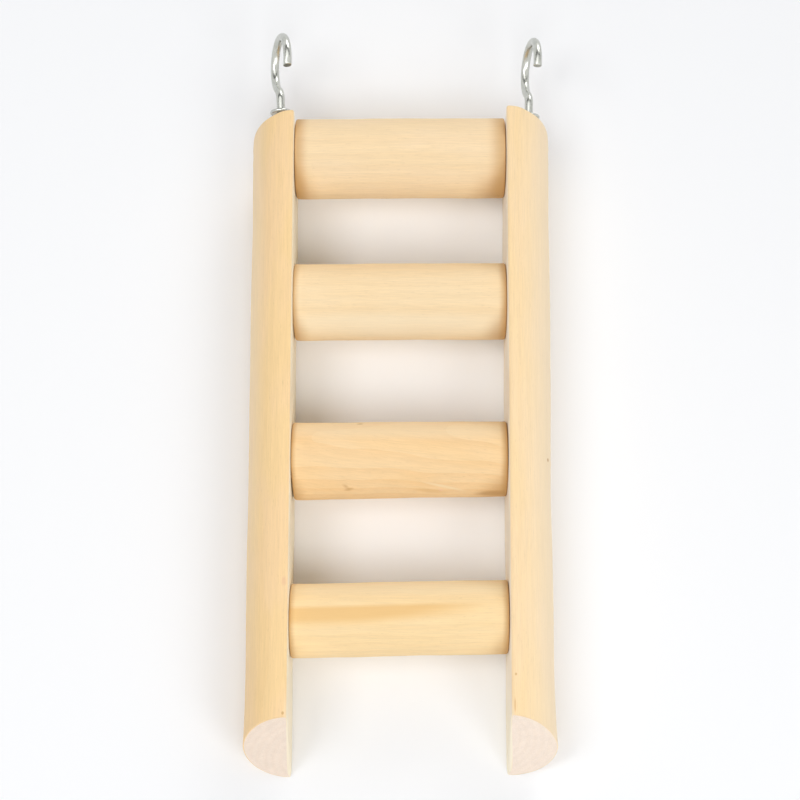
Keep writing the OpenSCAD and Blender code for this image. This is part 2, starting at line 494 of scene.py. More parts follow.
@dataclass(frozen=True)
class Wood(Finish):
    """Birch, planed or turned, sanded and left raw.

    It gives the eye a warm cream with hardly any shine, fine fibres along the piece, growth rings
    so faint that they only show as soft long streaks, short pale and dark flecks, and a slow
    drift between yellow and rosy cream. A face left from the saw is paler, partly from its own tone
    and partly painted light.
    """

    name: str
    base: str
    ring_tone: str
    rosy: str
    grain: Grain
    pith: Place
    tilt: Pair = (0.0, 0.0)
    ring_share: float = 0.14
    rosy_share: float = 0.5
    marks: tuple[Mark, ...] = ()
    # the tone of a rail's inner flat: partly the sawn face's own paler colour, partly painted light
    sawn: str = ""
    sawn_and_painted_light_x: Pair = (27.82, 28.2)
    sawn_and_painted_light_share: float = 0.85
    ring_mm: float = 2.3
    ring_sway: float = 3.0
    sway_mm: float = 24.0
    fibre: Strands = Strands(6.0, 0.3, 3.0, 0.55, (0, 3, 5))
    fleck: Strands = Strands(1.6, 0.25, 1.0, shift=(7, 3, 5))
    streak: Strands = Strands(45.0, 1.1, 3.0, shift=(14, 3, 5))
    drift: Strands = Strands(21.0, 7.0, 2.0)
    fibre_height: float = 0.05
    roughness: float = 0.66
    gloss: float = 0.15

    def rings(self, add: Adder, log_place: Socket) -> Socket:
        """Draws growth rings round the pith, a little off round.

        Args:
            add: adds a node to the material.
            log_place: the place in the log, with X along the grain.

        Returns:
            The share of ring tone.
        """
        noise = {"Scale": per_mm(self.sway_mm)[0], "Detail": 1.5, "Roughness": 0.4, "Vector": log_place}
        sway = metres((0.0, self.ring_sway, self.ring_sway))
        push = {0: add("TexNoise", noise, "Color"), 1: sway, 2: log_place}
        wave = {"Scale": wave_scale(self.ring_mm), "Distortion": 0.5, "Detail": 2.0, "Detail Scale": 0.5}
        wave["Vector"] = add("VectorMath", push, operation="MULTIPLY_ADD")
        kind = {"wave_type": "RINGS", "rings_direction": "X", "wave_profile": "SAW"}
        ring = add("TexWave", wave, "Fac", **kind)
        limits = {"Value": ring, 1: 0.1, 2: 1.0, 3: 0.0, 4: self.ring_share}
        return add("MapRange", limits, interpolation_type="SMOOTHSTEP")

    def surface(self, add: Adder, place: Socket) -> dict:
        """Draws the wood as a solid log: rings round the pith, and noise drawn out along the grain.

        The face that the saw left on a rail's inner side is a thin paler skin, partly from its own
        tone and partly painted light.

        Args:
            add: adds a node to the material.
            place: the place in Object coordinates.

        Returns:
            The shader's inputs by socket name.
        """
        turns = [math.radians(a) for a in (0.0, self.tilt[0], self.grain.value + self.tilt[1])]
        log_frame = {"Vector": place, "Location": metres(self.pith), "Rotation": turns}
        log_place = add("Mapping", log_frame, vector_type="TEXTURE")
        kinds = (self.fibre, self.fleck, self.streak, self.drift)
        fibre, fleck, streak, drift = (strands.draw(add, log_place) for strands in kinds)
        limits = {"Value": drift, 1: 0.35, 2: 0.65, 3: 0.0, 4: self.rosy_share}
        rosy_share = add("MapRange", limits, interpolation_type="SMOOTHSTEP")
        layers = [(rosy_share, self.rosy), (self.rings(add, log_place), self.ring_tone)]
        # paler inner flat: partly the sawn face's own tone, partly painted light
        if self.sawn:
            depth = add("Math", {0: add("SeparateXYZ", {0: place}, "X")}, operation="ABSOLUTE")
            near, far = metres(self.sawn_and_painted_light_x)
            limits = {"Value": depth, 1: near, 2: far, 3: self.sawn_and_painted_light_share, 4: 0.0}
            layers.append((add("MapRange", limits, interpolation_type="SMOOTHSTEP"), self.sawn))
        tones = (
            (fibre, 0.3, 0.7, 0.957, 1.04),
            (streak, 0.3, 0.7, 0.978, 1.018),
            (fleck, 0.63, 0.76, 1.0, 0.93),
        )
        colour = toned(add, layered(add, linear(self.base), layers), tones)
        marks = [(mark.cover(add, place), mark.colour) for mark in self.marks]
        limits = {"Value": fibre, 1: 0.3, 2: 0.7, 3: self.roughness - 0.06, 4: self.roughness + 0.08}
        relief = {"Height": fibre, "Distance": self.fibre_height * MM, "Strength": 0.5}
        return {
            "Base Color": layered(add, colour, marks),
            "Roughness": add("MapRange", limits),
            "Normal": add("Bump", relief),
            "Specular IOR Level": self.gloss,
        }


@dataclass(frozen=True)
class EndGrain(Finish):
    """Birch sawn across the grain and only brushed off.

    It gives the eye a paler, rosier and drier cream than the sides, with faint arcs of growth
    rings, dots of open pores and faint saw lines.
    """

    name: str
    base: str
    ring_tone: str
    pith: Place
    ring_mm: float = 1.9
    ring_share: float = 0.18
    pore_mm: float = 0.3
    blotch_mm: float = 2.2
    saw_mm: float = 0.7
    saw_turn: float = 24.0
    saw_height: float = 0.05
    roughness: float = 0.8
    gloss: float = 0.2

    def surface(self, add: Adder, place: Socket) -> dict:
        """Draws rings about the rail's own run, pores, blotches and the saw's slanted strokes.

        Args:
            add: adds a node to the material.
            place: the place in Object coordinates.

        Returns:
            The shader's inputs by socket name.
        """
        turns = (0.0, 0.0, math.radians(Grain.UP.value))
        log_frame = {"Vector": place, "Location": metres(self.pith), "Rotation": turns}
        wave = {"Scale": wave_scale(self.ring_mm), "Distortion": 1.2, "Detail": 2.0, "Detail Scale": 0.4}
        wave["Vector"] = add("Mapping", log_frame, vector_type="TEXTURE")
        rings = add("TexWave", wave, "Fac", wave_type="RINGS", rings_direction="X")
        pore, blotch = (
            add("TexNoise", {"Vector": place, "Scale": scale, "Detail": 2.0}, "Fac")
            for scale in per_mm(self.pore_mm, self.blotch_mm)
        )
        stroke = {"Vector": place, "Rotation": (0.0, math.radians(self.saw_turn), 0.0)}
        lines = {"Scale": wave_scale(self.saw_mm), "Distortion": 3.0, "Detail": 2.0}
        lines["Vector"] = add("Mapping", stroke)
        saw = add("TexWave", lines, "Fac", bands_direction="Z")
        share = add("MapRange", {"Value": rings, 3: 0.0, 4: self.ring_share})
        colour = layered(add, linear(self.base), [(share, self.ring_tone)])
        tones = ((pore, 0.3, 0.7, 0.945, 1.035), (blotch, 0.3, 0.7, 0.972, 1.022))
        height = add("Math", {0: saw, 1: 0.6, 2: pore}, operation="MULTIPLY_ADD")
        relief = {"Height": height, "Distance": self.saw_height * MM, "Strength": 0.7}
        return {
            "Base Color": toned(add, colour, tones),
            "Roughness": self.roughness,
            "Normal": add("Bump", relief),
            "Specular IOR Level": self.gloss,
        }


@dataclass(frozen=True)
class Metal(Finish):
    """Steel whose tone and polish change in soft clouds, with a fine relief over it.

    The relief is a small stamped waffle of lines, or the clouds themselves where there is none.
    Bare drawn steel gives the eye a mid grey with soft dark blotches.
    """

    name: str = "drawn_steel_nail"
    base: str = "#a9a8a6"
    cloud_tone: str = "#7d7a76"
    roughness: Pair = (0.3, 0.5)
    relief_mm: float = 0.08
    relief_strength: float = 0.8
    waffle_mm: float = 0.55
    cloud_mm: float = 1.1
    cloud_detail: float = 3.0
    cloud_span: Pair = (0.0, 1.0)

    def surface(self, add: Adder, place: Socket) -> dict:
        """Draws the clouds in colour and roughness, and the waffle as crossed bands of relief.

        Args:
            add: adds a node to the material.
            place: the place in Object coordinates.

        Returns:
            The shader's inputs by socket name.
        """
        noise = {"Vector": place, "Scale": per_mm(self.cloud_mm)[0], "Detail": self.cloud_detail}
        cloud = height = add("TexNoise", noise, "Fac")
        if self.waffle_mm:
            wave = {"Vector": place, "Scale": wave_scale(self.waffle_mm)}
            bands = [add("TexWave", wave, "Fac", bands_direction=axis) for axis in "YZ"]
            height = add("Math", {0: bands[0], 1: bands[1]}, operation="MAXIMUM")
        (low, high), (shiny, dull) = self.cloud_span, self.roughness
        relief = {"Height": height, "Distance": self.relief_mm * MM, "Strength": self.relief_strength}
        return {
            "Base Color": layered(add, linear(self.base), [(cloud, self.cloud_tone)]),
            "Roughness": add("MapRange", {"Value": cloud, 1: low, 2: high, 3: shiny, 4: dull}),
            "Normal": add("Bump", relief),
            "Metallic": 1.0,
        }


# The ladder's shared sizes


class Side(IntEnum):
    """Which side of the ladder a piece is on, as the sign of its X."""

    LEFT = -1
    RIGHT = 1


@dataclass(frozen=True)
class Ladder:
    """Sizes that the pieces share. The rails' places come from their solids' boxes."""

    gap: float = -2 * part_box("rail_left")[1][0] / MM
    rail_radius: float = (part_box("rail_right")[1][0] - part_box("rail_right")[0][0]) / MM
    axis_height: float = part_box("rail_left")[1][2] / MM / 2
    tip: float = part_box("rail_left")[1][1] / MM
    right_rise: float = 1.3
    left_length: float = 157.0
    right_length: float = 157.6
    top_cut: float = math.tan(math.radians(26.5))
    foot_cut: float = math.tan(math.radians(34))
    nail_sink: float = 0.3
    rung_drops: tuple[float, ...] = (9.6, 48.9, 91.1, 132.2)
    rung_slopes: tuple[float, ...] = (0.4, 0.4, 0.8, 1.2)

    def nail_heads(self, side: Side) -> Array:
        """Returns the (x, y) of each nail head's face on one side, from the hooks down."""
        reach = side * (self.gap / 2 + self.rail_radius - self.nail_sink)
        slopes = np.radians(self.rung_slopes)
        height = self.tip - np.array(self.rung_drops)
        return np.stack([reach * np.cos(slopes), height + reach * np.sin(slopes)], -1)


# Rails


@dataclass
class Rail:
    """A side rail: half a dowel, flat side in, with both ends cut on a slant.

    Its round side stands out by full, and by a burr where the saw tore the foot's outer edge. The
    foot's inner edge is worn round, more so toward the back. The top cut rises by a crest near the
    flat, the foot's cut runs lower by a skew at the outer side, and the round side sinks at a bow.
    The grades are the coarse spacing, the fine one and its reach for the rows and the columns.
    """

    side: Side
    tip: float
    length: float
    ladder: Ladder
    wood: Wood
    end_grain: EndGrain
    full: float = 0.0
    burr: float = 0.4
    burr_reach: float = 3.5
    worn_edge: float = 0.6
    sharp_edge: float = 0.1
    crest: float = 0.38
    crest_span: Pair = (6.5, 3.0)
    foot_skew: float = 0.0
    bow: float = 0.0
    bow_drop: float = 103.0
    bow_reach: float = 22.0
    edge_radius: float = 0.8
    top_radius: float = 0.5
    foot_radius: float = 0.2
    lean_reach: float = 40.0
    heart_share: float = 0.42
    sanded_off: float = 0.04
    recess_radius: float = 1.66
    recess_wall: float = 0.22
    recess_depth: float = 0.4
    lip_height: float = 0.05
    lip_radius: float = 2.15
    lip_width: float = 0.3
    waves: tuple = ((0.05, 61, 90, 0.4), (0.035, 37, -52, 2.1), (0.02, 19, 31, 4.0))
    wave_fade: float = 2.0
    row_grade: Place = (1.4, 0.17, 3.0)
    column_grade: Place = (0.75, 0.2, 1.7)
    edge_rows: int = 6
    face_fill: tuple[float, ...] = (0.12, 0.35, 0.6, 0.82, 0.95, 0.985)

    def legs(self) -> tuple[Pair, ...]:
        """Works out the half-round section, whose corners by the flat are rounded.

        Returns:
            The length and turn of the big arc, an edge, the flat and the other edge.
        """
        radius, edge = self.ladder.rail_radius, self.edge_radius
        edge_centre = math.sqrt((radius - edge) ** 2 - edge**2)
        ease = math.atan2(edge_centre, edge)
        round_edge = (edge * (math.pi - ease), math.pi - ease)
        return (2 * radius * ease, 2 * ease), round_edge, (2 * edge_centre, 0.0), round_edge

    def rows(self) -> tuple[Array, ...]:
        """Lays out the rows from the foot's middle, over its cut edge, up the sides and over the top.

        A row follows a cut by (1 - distance from that end / lean reach) squared.

        Returns:
            For each row, its distance below the tip on the front, how much of the section is left,
            how far it is set in, and how much it follows the top's cut and the foot's, as columns,
            and the finish of each row of faces.
        """
        ladder, radii = self.ladder, (self.foot_radius, self.top_radius)
        below = self.tip - ladder.nail_heads(self.side)[:, 1]
        lean = ladder.axis_height * ladder.top_cut * (1 - below / self.lean_reach).clip(0) ** 2
        spots = [*(below - lean).tolist(), self.length - self.wave_fade]
        sides = graded(radii[1], self.length - radii[0], spots, *self.row_grade)[::-1]
        layout = (sides, radii, self.edge_rows, self.face_fill)
        drop, left, set_in, bands = capped(self.length, 0, *layout)
        ends = (drop, self.length - drop)
        top_share, foot_share = ((1 - away / self.lean_reach).clip(0) ** 2 for away in ends)
        return drop, left, set_in, top_share, foot_share, bands

    def swell(self, around: Array, drop: Array, out: Array, up: Array) -> Array:
        """Works out how far the worked wood stands out from the solid.

        It is the waves, free of the ends, less what was sanded off, plus the fullness of the
        round side, minus its bow, plus the burr, which falls off as exp(-distance from the foot /
        burr reach).

        Args:
            around: distance round the outline.
            drop: distance below the tip.
            out: the outward direction's part away from the flat.
            up: the outward direction's part forward.

        Returns:
            The height over the solid.
        """
        from_foot = self.length - drop
        free = smooth(0, self.wave_fade, drop) * smooth(0, self.wave_fade, from_foot)
        waves = ripple(drop + 0 * around, around + 0 * drop, self.waves) * free
        full = self.full * smooth(-0.1, 0.6, out) - self.sanded_off
        bow = self.bow * bell(drop, self.bow_drop, self.bow_reach) * out.clip(0)
        torn = np.exp(-from_foot / self.burr_reach) * smooth(0.2, 0.7, out) * smooth(0.8, -0.1, up)
        return waves + full - bow + self.burr * torn

    def build(self, name: str) -> Object:
        """Builds the rail.

        A point is the section's point for its column, set in by the row's inset and shrunk toward
        the section's heart, at the row's drop below the tip plus its depth behind the front
        times the row's slant. The worn edge is a quarter round. Round each nail the wood steps
        down to the recess, inside a lip that the hammer raised.

        Args:
            name: the node that it stands for.

        Returns:
            The piece.
        """
        ladder, legs = self.ladder, self.legs()
        ease, stops = legs[0][1] / 2, np.cumsum([length for length, _ in legs])
        around = graded(0, stops[-1], [0, stops[0] / 2, *stops], *self.column_grade)[:-1]
        start = (ladder.rail_radius * math.cos(ease), -ladder.rail_radius * math.sin(ease))
        place, heading = walk(around, start, math.pi / 2 - ease, legs)
        (x, z), out, up = place.T, np.sin(heading), -np.cos(heading)
        drop, left, set_in, top_share, foot_share, bands = self.rows()
        slant = ladder.top_cut * top_share + ladder.foot_cut * foot_share
        heart = self.heart_share * ladder.rail_radius
        inner_edge = smooth(0.3, -0.6, out) * smooth(-0.9, -0.2, up) * smooth(11, -8, z)
        worn = self.worn_edge * inner_edge + self.sharp_edge
        near = (1 - (self.length - drop) / worn).clip(0)
        inward = set_in + worn * (1 - np.sqrt(1 - near**2))
        wide = (x - inward * out - heart) * left + heart
        high = (z - inward * up) * left
        down = drop + (ladder.axis_height - high) * slant
        down -= self.crest * top_share * smooth(*self.crest_span, wide)
        down += self.foot_skew * foot_share * wide / ladder.rail_radius
        swell = self.swell(around, drop, out, up)
        for head_y in ladder.nail_heads(self.side)[:, 1]:
            off = np.where(out < 0.5, np.inf, np.hypot(self.tip - down - head_y, high))
            hole = 1 - smooth(self.recess_radius, self.recess_radius + self.recess_wall, off)
            swell += self.lip_height * bell(off, self.lip_radius, self.lip_width)
            swell -= (self.recess_depth + swell) * hole
        swell *= left
        wide, high = wide + swell * out, high + swell * up
        across = self.side * (ladder.gap / 2 + wide)
        rings = np.stack([across, self.tip - down, ladder.axis_height + high], -1)
        poles = np.full((2, 3), ladder.axis_height)
        poles[:, 0] = self.side * (ladder.gap / 2 + heart)
        poles[:, 1] = self.tip - (drop + ladder.axis_height * slant)[[0, -1], 0]
        finishes = [self.wood.material(), self.end_grain.material()]
        return skin(name + "_wood", [(rings, poles)], finishes, bands)


# Rungs


@dataclass(frozen=True)
class Dent:
    """A shallow nick: place along the rung and round it in degrees, half length, half width, depth."""

    along: float
    angle: float
    length: float
    width: float
    depth: float


@dataclass
class Rung:
    """A turned dowel between the rails, cut off not quite square.

    Its row grade is the coarse spacing, the fine one and its reach.
    """

    number: int
    diameter: float
    ladder: Ladder
    wood: Wood
    end_grain: EndGrain
    taper: float = 0.0
    end_radius: float = 0.6
    end_gaps: Pair = (0.1, 0.1)
    gap_angles: Pair = (200.0, 60.0)
    saw_off_reach: float = 6.0
    sanded_off: float = 0.04
    dents: tuple[Dent, ...] = ()
    waves: tuple = ((0.05, 47, 62, 1.0), (0.03, 23, -31, 3.3), (0.02, 11, 20.7, 5.0))
    wave_fade: float = 1.5
    columns: int = 144
    row_grade: Place = (0.6, 0.3, 2.0)
    edge_rows: int = 7
    face_fill: tuple[float, ...] = (0.15, 0.5, 0.8, 0.95)

    def build(self, name: str) -> Object:
        """Builds the rung.

        A point is on the dowel's axis at its row, plus the radius there times the direction of
        its column. Each end is a quarter-round edge into a flat, and on one side of it the saw
        ran off by the end gap, so that the end leaves the rail there.

        Args:
            name: the node that it stands for.

        Returns:
            The piece.
        """
        half, edge = self.ladder.gap / 2, self.end_radius
        sides = graded(-half + edge, half - edge, [-half, half], *self.row_grade)
        layout = (sides, (edge, edge), self.edge_rows, self.face_fill)
        row, left, set_in, bands = capped(-half, half, *layout)
        angle = np.linspace(0, 2 * math.pi, self.columns, endpoint=False)[None]
        radius = self.diameter / 2 - self.taper * row / (4 * half)
        free = smooth(0, self.wave_fade, half - np.abs(row))
        swell = ripple(row + 0 * angle, angle * radius, self.waves) * free - self.sanded_off
        for dent in self.dents:
            off = np.angle(np.exp(1j * (angle - math.radians(dent.angle)))) * radius
            swell -= dent.depth * bell(row, dent.along, dent.length) * bell(off, 0, dent.width)
        reach = (radius - set_in + swell * (left >= 1)) * left
        place = row + 0 * reach
        for sign, gap, turned in zip((-1, 1), self.end_gaps, self.gap_angles):
            tilt = (reach * np.cos(angle - math.radians(turned)) / (self.diameter / 2)).clip(0)
            place -= sign * gap * tilt * smooth(half - self.saw_off_reach, half, sign * row)
        slope = math.radians(self.ladder.rung_slopes[self.number])
        base = self.ladder.tip - self.ladder.rung_drops[self.number]
        forward, upward = reach * np.sin(angle), reach * np.cos(angle)
        out = (place + upward * math.sin(slope)) / math.cos(slope)
        y = base + out * math.sin(slope) + upward * math.cos(slope)
        rings = np.stack([place, y, self.ladder.axis_height + forward], -1)
        rise = half * math.tan(slope)
        poles = np.array([[s * half, base + s * rise, self.ladder.axis_height] for s in (-1, 1)])
        finishes = [self.wood.material(), self.end_grain.material()]
        return skin(name + "_dowel", [(rings, poles)], finishes, bands)


# Hooks and nails


@dataclass
class CupHook:
    """A screw hook: point, thread, pressed collar, neck and an open eye, all on one wire.

    Its place is its inset from the rail's flat, its depth behind the rail's front, and the drop
    of its seat below the left rail's tip. It is turned about its screw and leans to the right.
    Its eye runs on by the tip turn past level, and its cut end slants by the shear.
    """

    side: Side
    ladder: Ladder
    finish: Metal
    cut_finish: Metal
    inset: float
    depth: float
    drop: float
    turn: float
    lean: float
    tip_turn: float
    shear: float
    wire: float = 2.2
    eye_radius: float = 7.1
    neck: float = 4.0
    bend_radius: float = 3.7
    eye_shift: float = 2.0
    collar: float = 5.8
    collar_thick: float = 0.9
    fillet: float = 0.55
    screw: float = 2.6
    screw_core: float = 1.9
    screw_length: float = 12.0
    point_length: float = 3.0
    thread_pitch: float = 1.1
    thread_run_out: float = 2.5
    thread_top: Pair = (-0.9, -0.4)
    flank: Pair = (1.6, 0.3)
    shear_reach: float = 1.5
    tip_round: float = 0.12
    columns: int = 40
    point_rows: int = 22
    shank_rows: int = 120
    wire_rows: int = 170

    def stations(self) -> tuple[Array, Array]:
        """Lays out the rows along the wire, with a quarter round wherever its radius changes.

        Returns:
            For each row, its distance along the wire from the collar's seat, which is negative on
            the screw, and its radius before threading.
        """
        wire, rim, tip, screw = self.wire / 2, self.collar_thick / 2, self.tip_round, self.screw / 2
        start, shank_start = -self.screw_length, self.point_length - self.screw_length
        shank = np.linspace(shank_start, self.thread_top[1], self.shank_rows)[1:]
        rim_turn = np.radians(np.linspace(-90, 90, 11))
        fillet_turn = np.radians(np.linspace(0, 90, 7))
        tip_turn = np.radians(np.linspace(0, 90, 6))
        length = sum(leg for leg, _ in self.legs()) - self.screw_length
        run = np.linspace(self.collar_thick + self.fillet, length, self.wire_rows)[1:]
        run = run[run < length - tip]
        rows = [
            tuple(np.linspace(*span, self.point_rows) for span in ((start, shank_start), (0.12, screw))),
            (shank, np.full(len(shank), screw)),
            ([-0.2, 0.0], [screw - 0.1, 1.6]),
            (rim + rim * np.sin(rim_turn), self.collar / 2 - rim + rim * np.cos(rim_turn)),
            (
                self.collar_thick + self.fillet * (1 - np.cos(fillet_turn)),
                wire + self.fillet * (1 - np.sin(fillet_turn)),
            ),
            (run, np.full(len(run), wire)),
            (length - tip + tip * np.sin(tip_turn), wire - tip + tip * np.cos(tip_turn)),
            ([length] * 2, [0.5, 0.2]),
        ]
        along, radius = (np.concatenate(part) for part in zip(*rows))
        return along, radius

    def legs(self) -> tuple[Pair, ...]:
        """Works out the bent wire: up the screw and neck, back round a small arc, and round the eye.

        Returns:
            The length and turn of each, in the hook's own plane.
        """
        eye, bend = self.eye_radius, self.bend_radius
        lift = math.sqrt((eye + bend) ** 2 - (self.eye_shift + bend) ** 2)
        back = math.atan2(lift, self.eye_shift + bend)
        sweep = math.pi + back + math.radians(self.tip_turn)
        return (self.screw_length + self.neck, 0.0), (bend * back, back), (eye * sweep, -sweep)

    def build(self, name: str) -> Object:
        """Builds the hook as one skin.

        A point is the wire's place for its row, plus the row's radius times a direction that
        turns round the wire. The last rows slant by the shear, as cutters left them. On the
        screw, the radius is cut back by a V thread: the depth times how far
        (height / pitch + angle / full turn) is from a whole number.

        Args:
            name: the node that it stands for.

        Returns:
            The piece.
        """
        along, radius = self.stations()
        start = (0.0, -self.screw_length)
        place, heading = walk(along + self.screw_length, start, math.pi / 2, self.legs())
        angle = np.linspace(0, 2 * math.pi, self.columns, endpoint=False)[None]
        depth = (self.screw - self.screw_core) / 2
        phase = along[:, None] / self.thread_pitch + angle / (2 * math.pi)
        valley = np.abs(2 * (phase - np.floor(phase)) - 1)
        run_out = smooth(0, self.thread_run_out, along + self.screw_length)
        threaded = ((1 - smooth(*self.thread_top, along)) * run_out)[:, None]
        steep, floor = self.flank
        reach = radius[:, None] - depth * threaded * np.clip(steep * valley - floor, 0, 1)
        side = np.stack([np.sin(heading), -np.cos(heading)], -1)[:, None]
        head_on = np.stack([np.cos(heading), np.sin(heading)], -1)[:, None]
        across = reach * np.cos(angle)
        cut = self.shear * across * smooth(-self.shear_reach, 0, along - along[-1])[:, None]
        flat = place[:, None] + across[..., None] * side + cut[..., None] * head_on
        local = np.concatenate([flat, (reach * np.sin(angle))[..., None]], -1)
        poles = np.stack([np.append(place[0], 0), np.append(place[-1], 0)])
        bands = np.zeros(len(along) + 1, int)
        bands[-3:] = 1
        finishes = [self.finish.material(), self.cut_finish.material()]
        return skin(name + "_wire", [(self.seated(local), self.seated(poles))], finishes, bands)

    def seated(self, local: Array) -> Array:
        """Turns points from the hook's plane to its place in the rail.

        Args:
            local: forward through the opening, up the screw's axis, and across.

        Returns:
            The points in the ladder's frame.
        """
        turn, lean = math.radians(self.turn - 90), math.radians(-self.lean)
        forward, upward, across = np.moveaxis(local, -1, 0)
        x = forward * math.cos(turn) + across * math.sin(turn)
        z = across * math.cos(turn) - forward * math.sin(turn)
        leant_x = x * math.cos(lean) - upward * math.sin(lean)
        leant_y = x * math.sin(lean) + upward * math.cos(lean)
        seat_x = self.side * (self.ladder.gap / 2 + self.inset)
        seat = [seat_x, self.ladder.tip - self.drop, 2 * self.ladder.axis_height - self.depth]
        return np.stack([leant_x, leant_y, z], -1) + seat


@dataclass
class NailSet:
    """The eight wire nails, driven through the rails into the rungs."""

    ladder: Ladder
    finish: Metal
    shank: float = 1.6
    length: float = 28.0
    head: float = 3.2
    head_thick: float = 0.8
    rim_roll: float = 0.35
    point: float = 2.5
    columns: int = 32

    def build(self, name: str) -> Object:
        """Builds the nails as eight lathe-turned skins.

        A nail's profile is a crowned head with a rolled rim, a fillet down to the shank, and a
        point. Each is that profile turned about the nail's axis.

        Args:
            name: the node that they stand for.

        Returns:
            The piece.
        """
        rim, shank, thick = self.head / 2, self.shank / 2, self.head_thick / 2
        crown_turn = np.radians(np.linspace(20, 160, 9))
        rows = [
            ([0.0, 0.01], [0.5, 1.0]),
            (thick - thick * np.cos(crown_turn), rim - self.rim_roll * (1 - np.sin(crown_turn))),
            (self.head_thick + np.array([0, 0.15, 0.5]), [1.05, shank + 0.06, shank]),
            (np.linspace(6, self.length - self.point, 5), np.full(5, shank)),
            (self.length - np.array([1.0, 0.2]), [0.5, 0.26]),
        ]
        along, radius = (np.concatenate(part)[:, None, None] for part in zip(*rows))
        angle = np.linspace(0, 2 * math.pi, self.columns, endpoint=False)[:, None]
        skins = []
        for side in Side:
            for head, slope in zip(self.ladder.nail_heads(side), np.radians(self.ladder.rung_slopes)):
                inward = -side * np.array([math.cos(slope), math.sin(slope), 0])
                flank = np.array([-math.sin(slope), math.cos(slope), 0])
                start = np.array([*head, self.ladder.axis_height])
                spin = np.cos(angle) * flank + np.sin(angle) * np.array([0, 0, 1.0])
                rings = start + along * inward + radius * spin
                skins.append((rings, np.stack([start, start + self.length * inward])))
        bands = np.zeros(len(along) + 1, int)
        return skin(name + "_steel", skins, [self.finish.material()], bands)


# Studio


@dataclass(frozen=True)
class SoftBox:
    """A square studio light, aimed at the ladder, by its direction in degrees and its strength."""

    name: str
    bearing: float
    height: float
    power: float
    size: float = 0.5
    distance: float = 1.1

    def light(self) -> None:
        """Adds the light. Bearing is counted from +X toward +Y, height up from the floor."""
        data = bpy.data.lights.new(self.name, "AREA")
        data.shape = "SQUARE"
        data.size = self.size
        data.energy = self.power
        lamp = bpy.data.objects.new(self.name, data)
        bearing, height = math.radians(self.bearing), math.radians(self.height)
        flat = self.distance * math.cos(height)
        up = self.distance * math.sin(height)
        lamp.location = (flat * math.cos(bearing), flat * math.sin(bearing), up)
        lamp.rotation_euler = (math.pi / 2 - height, 0, bearing + math.pi / 2)
        bpy.context.scene.collection.objects.link(lamp)


@dataclass(frozen=True)
class Card:
    """A level card over the table that only shows in the metal, dark or glowing, in millimetres."""

    name: str
    place: Place
    size: Pair
    glow: float

    def hang(self) -> None:
        """Adds the card, out of sight of the camera and of every ray that carries light."""
        material, add, _ = new_material(self.name + "_face")
        add("OutputMaterial", {"Surface": add("Emission", {"Strength": self.glow})})
        card = lay_level(self.name, self.place, self.size, material)
        card.visible_camera = card.visible_diffuse = card.visible_shadow = False


@dataclass
class Studio:
    """A white sheet, soft lights round it, cards over it for the metal, and the camera."""

    floor_size: float = 4000.0
    floor_colour: str = "#fafbfd"
    floor_fade: Pair = (450.0, 900.0)
    ambient: float = 0.38
    lights: tuple[SoftBox, ...] = (
        SoftBox("left_softbox", 180.0, 62.0, 3.0),
        SoftBox("foot_softbox", 270.0, 62.0, 2.6),
        SoftBox("right_foot_softbox", 315.0, 42.0, 2.5),
        SoftBox("hook_end_softbox", 70.0, 22.0, 14.0, size=1.0, distance=2.2),
    )
    cards: tuple[Card, ...] = (
        Card("far_dark_card", (0.0, 1150.0, 1000.0), (6000.0, 760.0), 0.08),
        Card("window_card", (-150.0, 440.0, 1020.0), (760.0, 560.0), 1.8),
    )
    lens_pixels: float = 1850.0
    picture_pixels: float = 800.0
    sensor: float = 36.0
    camera_place: Place = (0.57, -83.72, 488.34)
    camera_turn: Place = (9.97, 0.042, 0.109)

    def floor(self) -> None:
        """Lays a plain white sheet under the ladder, which fades into the room far from it."""
        material, add, place = new_material("white_paper_sheet")
        reach = add("VectorMath", {0: place}, "Value", operation="LENGTH")
        near, far = metres(self.floor_fade)
        limits = {"Value": reach, 1: near, 2: far, 3: 0.0, 4: 1.0}
        share = add("MapRange", limits, interpolation_type="SMOOTHSTEP")
        paper = add("BsdfDiffuse", {"Color": linear(self.floor_colour)})
        surface = add("MixShader", {0: share, 1: paper, 2: add("BsdfTransparent")})
        add("OutputMaterial", {"Surface": surface})
        lay_level("table_sheet", (0.0, 0.0, 0.0), (self.floor_size, self.floor_size), material)

    def surroundings(self) -> None:
        """Sets the room's even light, and shows plain white behind to the camera and in the metal."""
        world = bpy.data.worlds.new("studio_room")
        world.use_nodes = True
        world.node_tree.nodes.clear()
        add = partial(add_node, world.node_tree)
        seen = add("LightPath", out="Is Camera Ray")
        for kind in ("Is Glossy Ray", "Is Transmission Ray"):
            seen = add("Math", {0: seen, 1: add("LightPath", out=kind)}, operation="MAXIMUM")
        room, plain = (
            add("Background", {"Color": linear(WHITE), "Strength": strength})
            for strength in (self.ambient, 1.0)
        )
        add("OutputWorld", {"Surface": add("MixShader", {0: seen, 1: room, 2: plain})})
        bpy.context.scene.world = world

    def camera(self) -> None:
        """Places the camera over the foot end, looking down at the ladder."""
        data = bpy.data.cameras.new("overhead_camera")
        data.sensor_width = self.sensor
        data.lens = self.lens_pixels / self.picture_pixels * self.sensor
        data.clip_start = 0.01
        viewer = bpy.data.objects.new("overhead_camera", data)
        viewer.location = metres(self.camera_place)
        viewer.rotation_euler = [math.radians(a) for a in self.camera_turn]
        bpy.context.scene.collection.objects.link(viewer)
        bpy.context.scene.camera = viewer

    def build(self) -> None:
        """Sets up the camera, the table, the lights and the view."""
        self.camera()
        self.floor()
        self.surroundings()
        for box in self.lights:
            box.light()
        for card in self.cards:
            card.hang()
        bpy.context.scene.view_settings.view_transform = "Standard"


# The whole ladder


